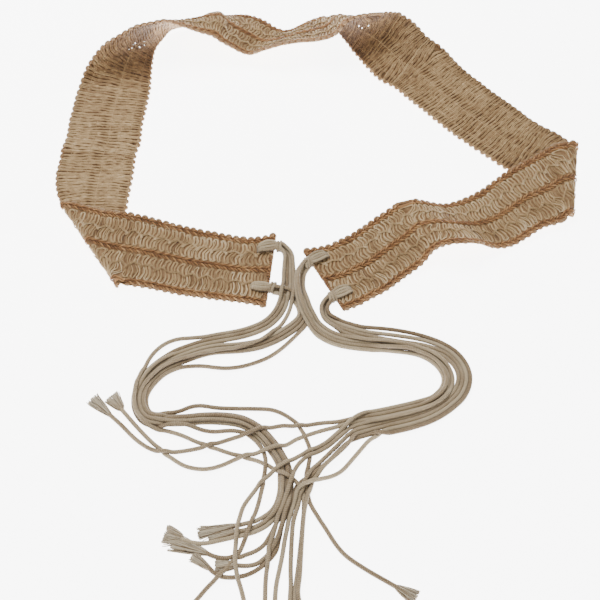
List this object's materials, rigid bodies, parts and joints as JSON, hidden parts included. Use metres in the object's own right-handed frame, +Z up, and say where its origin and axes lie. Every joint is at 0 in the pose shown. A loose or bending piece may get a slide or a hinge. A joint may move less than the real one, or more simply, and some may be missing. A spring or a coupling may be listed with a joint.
{
  "type": "raffia tie belt",
  "caption": "Wide belt of looped raffia strips with brown edging and centre braids, folded flat in a ring, and soft cotton tie cords hitched through the corners of both ends.",
  "frame": {"origin": "on the surface that the belt lies on, under the middle of the band's outline, ties left out", "axes": "+X to the wearer's right along the front of the lay, +Y from the ties to the back of the belt, +Z up from the surface"},
  "size_m": [0.3442, 0.4503, 0.0364],
  "materials": {
    "looped_straw": "beige raffia threads looped into flat strips, matt with a slight straw sheen",
    "brown_braid": "orange-brown raffia plaited into a raised braid with small picots",
    "cotton_cord": "greige twisted cotton cord, matt, frayed at its tips"
  },
  "bodies": {
    "root": {"edge_braid_lower": "brown_braid", "straw_strip_lower": "looped_straw", "centre_braid": "brown_braid", "straw_strip_upper": "looped_straw", "edge_braid_upper": "brown_braid", "hitch_loop_left_upper": "cotton_cord", "hitch_wrap_left_upper": "cotton_cord", "hitch_loop_left_lower": "cotton_cord", "hitch_wrap_left_lower": "cotton_cord", "hitch_loop_right_upper": "cotton_cord", "hitch_wrap_right_upper": "cotton_cord", "hitch_loop_right_lower": "cotton_cord", "hitch_wrap_right_lower": "cotton_cord", "tie_bundle_left_upper": "cotton_cord", "tie_bundle_left_lower": "cotton_cord", "tie_bundle_right_upper": "cotton_cord", "tie_bundle_right_lower": "cotton_cord", "tie_tail_left_1": "cotton_cord", "tie_tail_left_2": "cotton_cord", "tie_tail_left_3": "cotton_cord", "tie_tail_left_4": "cotton_cord", "tie_tail_left_5": "cotton_cord", "tie_tail_left_6": "cotton_cord", "tie_tail_left_7": "cotton_cord", "tie_tail_left_8": "cotton_cord", "tie_tail_right_1": "cotton_cord", "tie_tail_right_2": "cotton_cord", "tie_tail_right_3": "cotton_cord", "tie_tail_right_4": "cotton_cord", "tie_tail_right_5": "cotton_cord", "tie_tail_right_6": "cotton_cord", "tie_tail_right_7": "cotton_cord", "tie_tail_right_8": "cotton_cord", "tuft_left_1": "cotton_cord", "tuft_left_2": "cotton_cord", "tuft_left_3": "cotton_cord", "tuft_left_4": "cotton_cord", "tuft_left_5": "cotton_cord", "tuft_left_6": "cotton_cord", "tuft_left_7": "cotton_cord", "tuft_left_8": "cotton_cord", "tuft_right_1": "cotton_cord", "tuft_right_2": "cotton_cord", "tuft_right_3": "cotton_cord", "tuft_right_4": "cotton_cord", "tuft_right_5": "cotton_cord", "tuft_right_6": "cotton_cord", "tuft_right_7": "cotton_cord", "tuft_right_8": "cotton_cord"}
  },
  "joints": []
}
